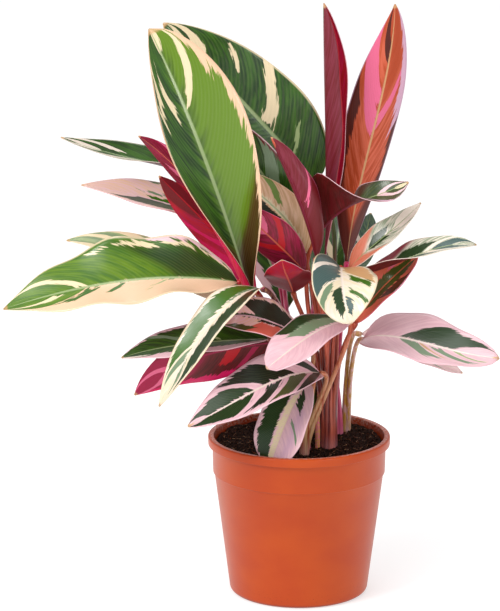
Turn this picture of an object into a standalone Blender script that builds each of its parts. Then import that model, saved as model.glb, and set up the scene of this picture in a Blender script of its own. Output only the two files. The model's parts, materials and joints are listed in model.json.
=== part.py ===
# Stromanthe Triostar in its nursery pot: a pot, its compost, eight shoots and their leaves.
# Lengths in this file's tables are millimetres, in the plant's own frame: the origin is the
# middle of the pot's underside, +Z is up, and -Y is the side that the plant is seen from.

import math

import bmesh
import bpy
from mathutils import Vector
from mathutils import noise

MM = 0.001
GAP = 0.4  # air between neighbouring pieces that touch on the real plant

# Pot: an injection-moulded 17 cm grower's pot
POT_HEIGHT = 150.0
RIM_RADIUS = 85.0
MOUTH_RADIUS = 79.5
LIP_DROP = 8.5
COLLAR_RADIUS = 81.0
COLLAR_DROP = 35.0
STEP_IN = 0.8
FOOT_RADIUS = 64.5
FOOT_ROUND = 5.0
WALL = 1.6
FLOOR = 2.2
POT_SIDES = 48
DRAIN_RADIUS = 4.5
DRAIN_RING = 38.0
DRAIN_COUNT = 6
DRAIN_TURN = 26.0  # degrees from +X to the first hole
DRAIN_CUTTER = 20.0  # length of the tool for one drain hole
RECESS_INNER, RECESS_OUTER, RECESS_HEIGHT = 28.0, 50.0, 1.2

# Compost
SOIL_LEVEL = 134.0
SOIL_RINGS = (0.0, 22.0, 42.0, 60.0, 71.0)
SOIL_SIDES = 28
SOIL_LUMP = 2.2
SOIL_CLEAR = 0.4  # air between the compost and the pot

# Shoots
FOOT_DEPTH = 24.0
FOOT_TAPER = ((10.0, 1.0), (24.0, 0.8), (36.0, 0.45))  # height over the compost, share of the radius
HOLE_CLEAR = 0.8
HOLE_CUTTER = 60.0  # length of the tool for one hole in the compost
TUBE_SIDES = 12

# Leaves
BLADE_THICKNESS = 0.8
ROW_LENGTH = 15.0
ROWS_LEAST, ROWS_MOST = 8, 14
NECK = 2.0  # half width of a blade where its stalk ends
POINT = 0.7  # half width of a blade's very tip
STALK_RADIUS = 2.1
STALK_POINTS = 6
STALK_START = 6.0  # height over the compost where a stalk joins its shoot's foot
STALK_FLARE = 1.2
PULVINUS_LENGTH = 5.0
PULVINUS_SWELL = 1.25

# Each shoot: where it stands (x, y), the radius of its foot, and how high its sheaths stay together
SHOOTS = {
    "shoot_left": (-16, 8, 6.0, 196),
    "shoot_left_back": (-12, 34, 6.0, 190),
    "shoot_middle": (3, 4, 6.0, 188),
    "shoot_front": (4, -28, 5.0, 168),
    "shoot_main": (28, -5, 7.5, 212),
    "shoot_right": (36, 28, 6.0, 196),
    "shoot_slim": (45, 39, 4.5, 176),
    "shoot_back": (14, 46, 5.0, 180),
}

# Young growth beside the shoots: where it stands (x, y), its radius, its height, and its tip's radius
SPROUTS = {
    "sprout_tall": (17, -17, 2.4, 62, 0.5),
    "sprout_purple": (9, -14, 2.3, 20, 0.4),
    "sprout_stub": (-4, -13, 2.6, 9, 2.2),
}

# Each leaf: its shoot, the midrib's four points from base to tip, which way the upper face looks
# at the base and at the tip, the width of each half, where it is widest, how blunt its tip is, the
# fold of each half at the midrib and its further cupping (degrees, at the base and at the tip),
# how far along it has unrolled, and the waves of its margin.
LEAVES = {
    "leaf_front_tall": dict(
        shoot="shoot_left", rib=[(-42, -20, 276), (-61, -38, 344), (-93, -50, 438), (-136, -45, 539)],
        face=[(0.35, -0.9, 0.2), (0.3, -0.9, 0.2)], halves=(38, 50), belly=(0.54, 0.66), blunt=(0.85, 0.62),
        fold=(0, 12), cup=(172, 12), opens=0.8, across=8),
    "leaf_back_tall": dict(
        shoot="shoot_back", rib=[(15, 25, 384), (-23, 28, 427), (-72, 28, 480), (-125, 20, 534)],
        face=[(0.1, -0.95, 0.3), (0.1, -0.95, 0.3)], halves=(46, 47), fold=(10, 8), cup=(14, 8)),
    "leaf_rolled_spear": dict(
        shoot="shoot_right", rib=[(23, 8, 314), (25, 14, 389), (24, 16, 473), (21, 8, 554)],
        face=[(0.8, -0.5, 0.0), (0.8, -0.5, 0.0)], halves=(28, 28), belly=0.64, blunt=0.8,
        fold=(0, 0), cup=(160, 150), across=8),
    "leaf_tall_right": dict(
        shoot="shoot_right", rib=[(44, 16, 312), (58, 26, 391), (77, 30, 472), (86, 15, 552)],
        face=[(-0.2, 0.95, 0.1), (-0.2, 0.95, 0.1)], halves=(25, 29), belly=0.5, blunt=(0.8, 1.0),
        fold=(25, 8), cup=(20, 10)),
    "leaf_left_high": dict(
        shoot="shoot_left_back", rib=[(-50, 58, 362), (-107, 60, 387), (-164, 55, 403), (-221, 40, 424)],
        face=[(0.0, -0.1, 1.0), (0.0, -0.5, 0.87)], halves=(20, 20), fold=(42, 15)),
    "leaf_left_pink": dict(
        shoot="shoot_left_back", rib=[(-48, 45, 332), (-95, 45, 351), (-148, 40, 368), (-202, 30, 381)],
        face=[(0.05, -0.4, 0.9), (0.05, -0.35, 0.93)], halves=(26, 26), fold=(20, 8)),
    "leaf_left_behind": dict(
        shoot="shoot_left", rib=[(-38, -11, 273), (-92, -4, 296), (-152, 5, 322), (-215, 5, 334)],
        face=[(0.0, -0.45, 0.9), (0.0, -0.45, 0.9)], halves=(26, 26), fold=(20, 8)),
    "leaf_left_long": dict(
        shoot="shoot_left", rib=[(-58, -25, 302), (-126, -45, 310), (-195, -60, 305), (-269, -65, 286)],
        face=[(0.0, -0.55, 0.83), (0.0, -0.55, 0.83)], halves=(41, 44), fold=(22, 6), cup=(12, 8),
        wave=(0.1, 3.2, 0.2)),
    "leaf_left_tip": dict(
        shoot="shoot_left_back", rib=[(-38, 18, 330), (-78, 16, 364), (-115, 14, 402), (-148, 10, 431)],
        face=[(-0.4, 0.6, 0.6), (-0.4, 0.6, 0.6)], halves=(15, 15), fold=(35, 20)),
    "leaf_left_crimson": dict(
        shoot="shoot_left", rib=[(-41, 13, 286), (-69, 6, 330), (-101, 0, 367), (-129, -6, 397)],
        face=[(-0.5, 0.75, 0.4), (-0.5, 0.75, 0.4)], halves=(16, 18), fold=(25, 15)),
    "leaf_hanging_left": dict(
        shoot="shoot_middle", rib=[(-35, -42, 299), (-65, -74, 292), (-98, -85, 253), (-128, -88, 201)],
        face=[(-0.3, -0.3, 0.9), (-0.55, -0.75, 0.35)], halves=(21, 21), fold=(12, 10), cup=(10, 8)),
    "leaf_low_left": dict(
        shoot="shoot_middle", rib=[(-30, -40, 252), (-75, -50, 252), (-120, -54, 248), (-163, -55, 238)],
        face=[(0.0, -0.4, 0.9), (0.0, -0.5, 0.87)], halves=(23, 23), fold=(20, 8)),
    "leaf_low_magenta": dict(
        shoot="shoot_middle", rib=[(-26, -30, 246), (-64, -22, 238), (-110, -12, 221), (-153, -8, 190)],
        face=[(-0.1, 0.97, 0.2), (-0.1, 0.97, 0.2)], halves=(23, 34), fold=(12, 10)),
    "leaf_mid_left": dict(
        shoot="shoot_middle", rib=[(1, -35, 255), (-26, -50, 270), (-53, -56, 278), (-80, -52, 270)],
        face=[(0.0, -0.6, 0.8), (0.0, -0.6, 0.8)], halves=(26, 22), fold=(14, 8)),
    "leaf_front_oval": dict(
        shoot="shoot_front", rib=[(40, -35, 266), (18, -62, 266), (-6, -85, 256), (-31, -98, 239)],
        face=[(-0.25, -0.45, 0.85), (-0.25, -0.5, 0.8)], halves=(28, 25), belly=0.48, blunt=0.5,
        fold=(16, 4)),
    "leaf_front_low": dict(
        shoot="shoot_front", rib=[(18, -38, 219), (-18, -66, 221), (-58, -86, 206), (-102, -98, 185)],
        face=[(-0.2, -0.6, 0.77), (-0.2, -0.6, 0.77)], halves=(29, 29), belly=0.42, blunt=0.75, fold=(14, 6)),
    "leaf_front_drop": dict(
        shoot="shoot_front", rib=[(7, -36, 209), (-6, -50, 192), (-18, -60, 166), (-28, -64, 138)],
        face=[(-0.45, -0.8, 0.4), (-0.45, -0.85, 0.2)], halves=(26, 26), belly=0.55, blunt=0.5, fold=(14, 6)),
    "leaf_centre_face": dict(
        shoot="shoot_main", rib=[(37, -28, 316), (37, -60, 316), (39, -84, 300), (45, -92, 279)],
        face=[(0.35, -0.25, 0.9), (-0.05, -0.97, 0.25)], halves=(32, 32), belly=0.45, fold=(18, 8),
        cup=(10, 10)),
    "leaf_centre_crimson": dict(
        shoot="shoot_main", rib=[(-6, -12, 289), (-10, -32, 304), (-14, -52, 318), (-17, -70, 333)],
        face=[(0.0, 0.6, 0.8), (0.0, 0.6, 0.8)], halves=(22, 22), belly=0.4, fold=(10, -5)),
    "leaf_rolled_centre": dict(
        shoot="shoot_main", rib=[(14, -32, 326), (4, -42, 368), (-11, -44, 406), (-27, -42, 440)],
        face=[(0.7, 0.6, 0.2), (0.7, 0.6, 0.2)], halves=(23, 23), belly=0.45, fold=(0, 0), cup=(145, 110),
        across=8),
    "leaf_mid_cream": dict(
        shoot="shoot_main", rib=[(4, -8, 325), (-12, -14, 357), (-36, -16, 381), (-61, -16, 409)],
        face=[(-0.1, -0.85, 0.5), (-0.1, -0.85, 0.5)], halves=(22, 22), fold=(18, 8)),
    "leaf_mid_pink": dict(
        shoot="shoot_main", rib=[(4, -20, 311), (-16, -34, 335), (-37, -38, 356), (-59, -36, 378)],
        face=[(-0.4, 0.75, 0.5), (-0.4, 0.75, 0.5)], halves=(20, 20), fold=(20, 10)),
    "leaf_arching": dict(
        shoot="shoot_main", rib=[(18, -14, 345), (41, -26, 370), (65, -34, 383), (98, -34, 397)],
        face=[(-0.2, 0.9, 0.4), (0.0, -0.7, 0.7)], halves=(24, 42), belly=0.36, fold=(50, 12)),
    "leaf_right_narrow": dict(
        shoot="shoot_main", rib=[(46, -20, 314), (66, -28, 336), (88, -28, 355), (110, -20, 375)],
        face=[(-0.35, -0.6, 0.7), (-0.35, -0.6, 0.7)], halves=(15, 15), fold=(20, 12)),
    "leaf_right_white": dict(
        shoot="shoot_main", rib=[(58, -24, 310), (86, -40, 322), (122, -44, 337), (160, -40, 340)],
        face=[(0.0, 0.1, 0.98), (0.0, -0.5, 0.87)], halves=(19, 19), fold=(30, 10)),
    "leaf_right_olive": dict(
        shoot="shoot_main", rib=[(52, -18, 262), (72, -28, 293), (91, -30, 313), (108, -24, 328)],
        face=[(-0.55, -0.65, 0.5), (-0.55, -0.65, 0.5)], halves=(19, 19), fold=(20, 10)),
    "leaf_right_pink": dict(
        shoot="shoot_slim", rib=[(59, -8, 244), (92, -28, 250), (134, -42, 243), (182, -50, 236)],
        face=[(0.0, -0.45, 0.9), (0.0, -0.45, 0.9)], halves=(32, 33), belly=0.45, blunt=0.6, fold=(12, 5),
        bend=0.08),
    "leaf_right_under": dict(
        shoot="shoot_slim", rib=[(58, 4, 245), (89, 2, 235), (121, -4, 222), (151, -12, 212)],
        face=[(0.0, -0.2, 1.0), (0.0, -0.2, 1.0)], halves=(22, 22), fold=(16, 8), bend=0.08),
    "leaf_right_blue": dict(
        shoot="shoot_right", rib=[(50, 36, 296), (57, 44, 314), (63, 50, 332), (67, 52, 350)],
        face=[(-0.3, -0.9, 0.3), (-0.3, -0.9, 0.3)], halves=(16, 16), fold=(16, 8)),
    "leaf_mid_green": dict(
        shoot="shoot_left_back", rib=[(8, 8, 335), (-18, 4, 373), (-46, 0, 415), (-73, -6, 456)],
        face=[(-0.1, -0.9, 0.4), (-0.1, -0.9, 0.4)], halves=(32, 25), fold=(18, 8)),
    "leaf_rear_right": dict(
        shoot="shoot_back", rib=[(28, 55, 255), (36, 95, 300), (42, 140, 325), (46, 185, 322)],
        face=[(0.0, -0.5, 0.8), (0.0, 0.3, 0.95)], halves=(23, 23), fold=(20, 8)),
    "leaf_rear_left": dict(
        shoot="shoot_left_back", rib=[(-12, 48, 258), (-32, 85, 305), (-57, 130, 330), (-78, 172, 325)],
        face=[(0.0, -0.5, 0.8), (0.0, 0.3, 0.95)], halves=(28, 28), fold=(20, 8)),
    "leaf_rear_middle": dict(
        shoot="shoot_back", rib=[(12, 50, 282), (4, 92, 330), (-6, 140, 345), (-14, 188, 335)],
        face=[(0.0, -0.5, 0.8), (0.0, 0.3, 0.95)], halves=(25, 25), fold=(20, 8)),
}

# Colours of the plain solids
POT_ORANGE = (0.62, 0.13, 0.035, 1.0)
SOIL_BROWN = (0.02, 0.013, 0.01, 1.0)
STALK_RED = (0.33, 0.07, 0.05, 1.0)
LEAF_GREEN = (0.05, 0.16, 0.03, 1.0)


def clear_scene():
    for obj in list(bpy.data.objects):
        bpy.data.objects.remove(obj, do_unlink=True)


def new_collection(name, shown=True):
    collection = bpy.data.collections.new(name)
    bpy.context.scene.collection.children.link(collection)
    collection.hide_render = not shown
    return collection


def new_material(name, colour, roughness):
    material = bpy.data.materials.new(name)
    material.use_nodes = True
    shader = material.node_tree.nodes["Principled BSDF"]
    shader.inputs["Base Color"].default_value = colour
    shader.inputs["Roughness"].default_value = roughness
    shader.inputs["Metallic"].default_value = 0.0
    return material


def add_object(name, data, collection, material=None):
    obj = bpy.data.objects.new(name, data)
    collection.objects.link(obj)
    if material:
        data.materials.append(material)
    return obj


# The object's mesh after its modifiers, as the viewport shows it.
def evaluated_mesh(obj):
    bpy.context.view_layer.update()
    graph = bpy.context.evaluated_depsgraph_get()
    return bpy.data.meshes.new_from_object(obj.evaluated_get(graph))


def weld(mesh, distance):
    bm = bmesh.new()
    bm.from_mesh(mesh)
    bmesh.ops.remove_doubles(bm, verts=bm.verts, dist=distance)
    bmesh.ops.recalc_face_normals(bm, faces=bm.faces)
    bm.to_mesh(mesh)
    bm.free()


# Point at u from 0 (base) to 1 (tip) on the smooth curve through the four rib points.
def along_rib(points, u):
    total = Vector()
    for i, point in enumerate(points):
        weight = 1.0
        for j in range(len(points)):
            if j != i:
                weight *= (u * (len(points) - 1) - j) / (i - j)
        total += weight * Vector(point)
    return total


def rib_direction(points, u):
    step = 0.01
    return (along_rib(points, u + step) - along_rib(points, u - step)).normalized()


# A value that both halves of a blade share, or one of a pair.
def one_side(value, side):
    return value[side] if isinstance(value, tuple) else value


# Width of one half of the blade at u: narrow at both ends, full at the belly, and the lower
# blunt is, the rounder the tip.
def half_width(leaf, u, side):
    belly = one_side(leaf.get("belly", 0.42), side)
    tip_power = one_side(leaf.get("blunt", 0.85), side)
    base_power = tip_power * belly / (1 - belly)
    u = min(max(u, 0.0), 1.0)
    fullest = belly**base_power * (1 - belly) ** tip_power
    shape = u**base_power * (1 - u) ** tip_power / fullest
    least = NECK * (1 - u) + POINT * u
    return max(least, leaf["halves"][side] * shape)


# From pair's first value at the base to its second where the blade has opened.
def eased(pair, u, opens):
    t = min(u / opens, 1.0)
    t = t * t * (3 - 2 * t)
    return pair[0] * (1 - t) + pair[1] * t


# Point of the upper face at u along the midrib and v across, from -1 to 1.
def blade_point(leaf, u, v):
    rib = leaf["rib"]
    opens = leaf.get("opens", 1.0)
    forward = rib_direction(rib, u)
    face = Vector(leaf["face"][0]).lerp(Vector(leaf["face"][1]), u)
    face = (face - face.project(forward)).normalized()
    side = forward.cross(face)
    fold = math.radians(eased(leaf.get("fold", (15, 8)), u, opens))
    cup = math.radians(eased(leaf.get("cup", (8, 8)), u, opens))
    if abs(cup) < 1e-3:
        cup = 1e-3
    half = half_width(leaf, u, 1 if v > 0 else 0)
    t = abs(v)
    across = half * (math.sin(fold + cup * t) - math.sin(fold)) / cup
    rise = half * (math.cos(fold) - math.cos(fold + cup * t)) / cup
    wave_size, wave_count, wave_shift = leaf.get("wave", (0.05, 2.5, 0.0))
    wave = math.sin(math.tau * (wave_count * u + wave_shift + (0.35 if v > 0 else 0.0)))
    rise += wave_size * half * wave * t * t
    return along_rib(rib, u) + side * math.copysign(across, v) + face * rise


# A thin blade: a grid laid on the leaf's surface, split into triangles, then given its thickness.
def make_blade(name, leaf, collection, material):
    length = (Vector(leaf["rib"][-1]) - Vector(leaf["rib"][0])).length
    rows = min(max(round(length / ROW_LENGTH), ROWS_LEAST), ROWS_MOST)
    bm = bmesh.new()
    bmesh.ops.create_grid(bm, x_segments=rows, y_segments=leaf.get("across", 4), size=0.5)
    for vert in bm.verts:
        u, v = vert.co.x + 0.5, vert.co.y * 2
        vert.co = blade_point(leaf, u, v) * MM
    bmesh.ops.triangulate(bm, faces=bm.faces, quad_method="ALTERNATE")
    mesh = bpy.data.meshes.new(name)
    bm.to_mesh(mesh)
    bm.free()
    mesh.shade_smooth()
    blade = add_object(name, mesh, collection, material)
    thickness = blade.modifiers.new("thickness", "SOLIDIFY")
    thickness.thickness = BLADE_THICKNESS * MM
    thickness.offset = 0.0
    thickness.use_even_offset = False
    return blade


def bezier(p0, p1, p2, p3, t):
    s = 1 - t
    return s**3 * p0 + 3 * s * s * t * p1 + 3 * s * t * t * p2 + t**3 * p3


# Centre line and radii of a leaf's stalk: it rises with the others of its shoot, leans out, and ends
# in a short swollen joint in line with the midrib, just short of the blade.
def stalk_points(shoot, leaf, index, count):
    x, y, foot_radius, top = shoot
    turn = math.tau * index / count
    inset = foot_radius - STALK_RADIUS - 1.0
    start = Vector((x + inset * math.cos(turn), y + inset * math.sin(turn), SOIL_LEVEL + STALK_START))
    forward = rib_direction(leaf["rib"], 0.0)
    end = Vector(leaf["rib"][0]) - forward * GAP
    joint = end - forward * PULVINUS_LENGTH
    low = Vector((start.x, start.y, top))
    high = joint - forward * leaf.get("bend", 0.22) * (joint - start).length
    points = []
    for i in range(STALK_POINTS):
        t = i / (STALK_POINTS - 1)
        radius = STALK_RADIUS * (STALK_FLARE + (1 - STALK_FLARE) * t)
        points.append((bezier(start, low, high, joint, t), radius))
    points[-1] = (joint, STALK_RADIUS * PULVINUS_SWELL)
    points.append((end, STALK_RADIUS))
    return points


# A closed mesh tube along points, each a place and a radius.
def make_tube(name, points, collection):
    curve = bpy.data.curves.new(name, "CURVE")
    curve.dimensions = "3D"
    curve.bevel_depth = MM
    curve.bevel_resolution = 1
    curve.use_fill_caps = True
    spline = curve.splines.new("POLY")
    spline.points.add(len(points) - 1)
    for point, (place, radius) in zip(spline.points, points):
        point.co = (*(place * MM), 1.0)
        point.radius = radius
    guide = add_object(name, curve, collection)
    mesh = evaluated_mesh(guide)
    weld(mesh, 0.00005)
    bpy.data.objects.remove(guide, do_unlink=True)
    return add_object(name, mesh, collection)


# The shoot's foot: its sheaths' common cone, standing straight in the compost.
def make_foot(name, shoot, collection):
    x, y, radius, top = shoot
    points = [(Vector((x, y, SOIL_LEVEL - FOOT_DEPTH)), radius)]
    for height, share in FOOT_TAPER:
        points.append((Vector((x, y, SOIL_LEVEL + height)), radius * share))
    return make_tube(name, points, collection)


# A young shoot that hasn't opened: a tapered cone, straight up out of the compost.
def make_sprout(name, sprout, collection, material):
    x, y, radius, height, tip = sprout
    points = [(Vector((x, y, SOIL_LEVEL - FOOT_DEPTH)), radius)]
    for share, width in ((0.4, radius), (0.8, (radius + tip) / 2), (1.0, tip)):
        points.append((Vector((x, y, SOIL_LEVEL + share * height)), width))
    cone = make_tube(name, points, collection)
    cone.data.materials.clear()
    cone.data.materials.append(material)
    return cone


# One solid for a shoot: its foot and every leaf stalk that rises from it.
def make_shoot(name, shoot, stalks, shown, material):
    parts = new_collection(name + "_parts", shown=False)
    for i, leaf in enumerate(stalks):
        make_tube(f"{name}_stalk_{i}", stalk_points(shoot, leaf, i, len(stalks)), parts)
    foot = make_foot(name, shoot, shown)
    join = foot.modifiers.new("join", "BOOLEAN")
    join.operation = "UNION"
    join.operand_type = "COLLECTION"
    join.collection = parts
    join.solver = "EXACT"
    mesh = evaluated_mesh(foot)
    foot.modifiers.clear()
    foot.data = mesh
    mesh.materials.clear()
    mesh.materials.append(material)
    for obj in list(parts.objects):
        bpy.data.objects.remove(obj, do_unlink=True)
    bpy.data.collections.remove(parts)
    return foot


# A solid of revolution from an (x, z) profile that runs from the axis out and back to the axis.
def turned(name, profile, sides, collection, material):
    bm = bmesh.new()
    verts = [bm.verts.new((x * MM, 0, z * MM)) for x, z in profile]
    for a, b in zip(verts, verts[1:]):
        bm.edges.new((a, b))
    mesh = bpy.data.meshes.new(name)
    bm.to_mesh(mesh)
    bm.free()
    obj = add_object(name, mesh, collection, material)
    screw = obj.modifiers.new("turn", "SCREW")
    screw.steps = screw.render_steps = sides
    screw.use_merge_vertices = True
    screw.merge_threshold = 0.00005
    return obj


# Radius of the pot's wall just under its collar.
def pot_shoulder():
    return COLLAR_RADIUS - STEP_IN - 1.2


# Half section of the pot: over its floor, up inside, over the rim and down its outer side.
def pot_profile():
    step = POT_HEIGHT - COLLAR_DROP
    lip = POT_HEIGHT - LIP_DROP
    shoulder = pot_shoulder()
    inner_foot = FOOT_RADIUS - WALL
    return [
        (0.0, FLOOR + RECESS_HEIGHT), (inner_foot - 2.0, FLOOR + RECESS_HEIGHT), (inner_foot + 0.2, 8.0),
        (shoulder - WALL, step - 1.0), (MOUTH_RADIUS - 0.6, step + 2.0), (MOUTH_RADIUS, POT_HEIGHT - 0.8),
        (MOUTH_RADIUS + 0.8, POT_HEIGHT), (RIM_RADIUS - 1.0, POT_HEIGHT), (RIM_RADIUS, POT_HEIGHT - 1.2),
        (RIM_RADIUS - 0.3, lip + 1.0), (RIM_RADIUS - 1.0, lip), (COLLAR_RADIUS, lip),
        (COLLAR_RADIUS - 0.6, step + 0.8), (shoulder, step), (FOOT_RADIUS + 0.4, FOOT_ROUND),
        (FOOT_RADIUS - 1.4, 1.4), (FOOT_RADIUS - FOOT_ROUND, 0.0), (RECESS_OUTER, 0.0),
        (RECESS_OUTER - 1.0, RECESS_HEIGHT), (RECESS_INNER + 1.0, RECESS_HEIGHT),
        (RECESS_INNER, 0.0), (0.0, 0.0),
    ]


def make_pot(shown, cutters, material):
    pot = turned("pot", pot_profile(), POT_SIDES, shown, material)
    pot.modifiers["turn"].use_normal_flip = True
    for i in range(DRAIN_COUNT):
        turn = math.radians(DRAIN_TURN) + math.tau * i / DRAIN_COUNT
        place = (DRAIN_RING * math.cos(turn), DRAIN_RING * math.sin(turn), 0)
        cut_away(pot, make_cutter(f"drain_{i}", place, DRAIN_RADIUS, DRAIN_CUTTER, cutters))
    return pot


def soil_height(x, y):
    lump = noise.noise(Vector((x, y, 3.0)) / 17.0) + 0.6 * noise.noise(Vector((x, y, 9.0)) / 8.0)
    return SOIL_LEVEL + SOIL_LUMP * lump


# A plain round tool for one hole, standing at (x, y) with its middle at height z.
def make_cutter(name, place, radius, length, cutters):
    bm = bmesh.new()
    bmesh.ops.create_cone(bm, cap_ends=True, segments=TUBE_SIDES, radius1=radius * MM,
                          radius2=radius * MM, depth=length * MM)
    mesh = bpy.data.meshes.new(name)
    bm.to_mesh(mesh)
    bm.free()
    cutter = add_object(name, mesh, cutters)
    cutter.location = Vector(place) * MM
    cutter.hide_render = True
    cutter.display_type = "WIRE"
    return cutter


def cut_away(obj, cutter):
    cut = obj.modifiers.new(cutter.name, "BOOLEAN")
    cut.operation = "DIFFERENCE"
    cut.object = cutter


# Compost that fills the pot, with a lumpy top and a plain hole for each shoot's foot.
def make_soil(shown, cutters, material):
    top_radius = MOUTH_RADIUS - 4 * SOIL_CLEAR
    step = POT_HEIGHT - COLLAR_DROP
    inside = pot_shoulder() - WALL - 2 * SOIL_CLEAR
    low = FLOOR + RECESS_HEIGHT + SOIL_CLEAR
    inner_foot = FOOT_RADIUS - WALL
    profile = [(r, SOIL_LEVEL) for r in SOIL_RINGS]
    profile += [(top_radius, SOIL_LEVEL), (inside, step - 2.0), (inner_foot - 2 * SOIL_CLEAR, 10.0)]
    profile += [(inner_foot - 4.0, low), (0.0, low)]
    soil = turned("soil", profile, SOIL_SIDES, shown, material)
    mesh = evaluated_mesh(soil)
    soil.modifiers.clear()
    for vert in mesh.vertices:
        x, y = vert.co.x / MM, vert.co.y / MM
        if vert.co.z > (SOIL_LEVEL - 1) * MM and math.hypot(x, y) < top_radius - 1:
            vert.co.z = soil_height(x, y) * MM
    soil.data = mesh
    weld(mesh, 0.00002)
    middle = SOIL_LEVEL - FOOT_DEPTH - GAP + HOLE_CUTTER / 2
    for name, foot in (SHOOTS | SPROUTS).items():
        x, y, radius = foot[:3]
        hole = make_cutter("hole_" + name, (x, y, middle), radius + HOLE_CLEAR, HOLE_CUTTER, cutters)
        cut_away(soil, hole)
    return soil


def main():
    clear_scene()
    shown = new_collection("stromanthe")
    cutters = new_collection("cutters", shown=False)
    make_pot(shown, cutters, new_material("pot_plastic", POT_ORANGE, 0.45))
    make_soil(shown, cutters, new_material("compost", SOIL_BROWN, 0.95))
    stalk = new_material("stalk", STALK_RED, 0.4)
    green = new_material("leaf", LEAF_GREEN, 0.35)
    for name, shoot in SHOOTS.items():
        stalks = [leaf for leaf in LEAVES.values() if leaf["shoot"] == name]
        make_shoot(name, shoot, stalks, shown, stalk)
    for name, sprout in SPROUTS.items():
        make_sprout(name, sprout, shown, stalk)
    for name, leaf in LEAVES.items():
        make_blade(name, leaf, shown, green)


main()
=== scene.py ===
import json
import math

import bmesh
import bpy
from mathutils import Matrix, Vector, noise


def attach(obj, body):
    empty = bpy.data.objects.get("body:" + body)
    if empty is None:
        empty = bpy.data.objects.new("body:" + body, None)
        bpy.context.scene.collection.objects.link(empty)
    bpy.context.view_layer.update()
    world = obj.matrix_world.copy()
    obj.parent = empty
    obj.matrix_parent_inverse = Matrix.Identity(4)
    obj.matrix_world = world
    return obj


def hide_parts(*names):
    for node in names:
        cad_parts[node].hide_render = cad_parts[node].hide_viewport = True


mm = 0.001
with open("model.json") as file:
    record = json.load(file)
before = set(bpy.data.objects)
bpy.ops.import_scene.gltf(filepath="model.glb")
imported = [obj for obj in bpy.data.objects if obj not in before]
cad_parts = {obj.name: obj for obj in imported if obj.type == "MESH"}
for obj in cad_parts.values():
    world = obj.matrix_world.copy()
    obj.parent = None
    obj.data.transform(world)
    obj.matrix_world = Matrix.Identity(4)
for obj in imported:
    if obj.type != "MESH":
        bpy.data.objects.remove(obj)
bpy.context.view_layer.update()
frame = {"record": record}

# Where each shoot stands (x, y), the radius of its foot and how high its sheaths stay together
shoots = {
    "shoot_left": (-16, 8, 6.0, 196),
    "shoot_left_back": (-12, 34, 6.0, 190),
    "shoot_middle": (3, 4, 6.0, 188),
    "shoot_front": (4, -28, 5.0, 168),
    "shoot_main": (28, -5, 7.5, 212),
    "shoot_right": (36, 28, 6.0, 196),
    "shoot_slim": (45, 39, 4.5, 176),
    "shoot_back": (14, 46, 5.0, 180),
}

# Young growth beside the shoots: where it stands (x, y), its radius, its height, and its tip's radius
sprouts = {
    "sprout_tall": (17, -17, 2.4, 62, 0.5),
    "sprout_purple": (9, -14, 2.3, 20, 0.4),
    "sprout_stub": (-4, -13, 2.6, 9, 2.2),
}

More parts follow.
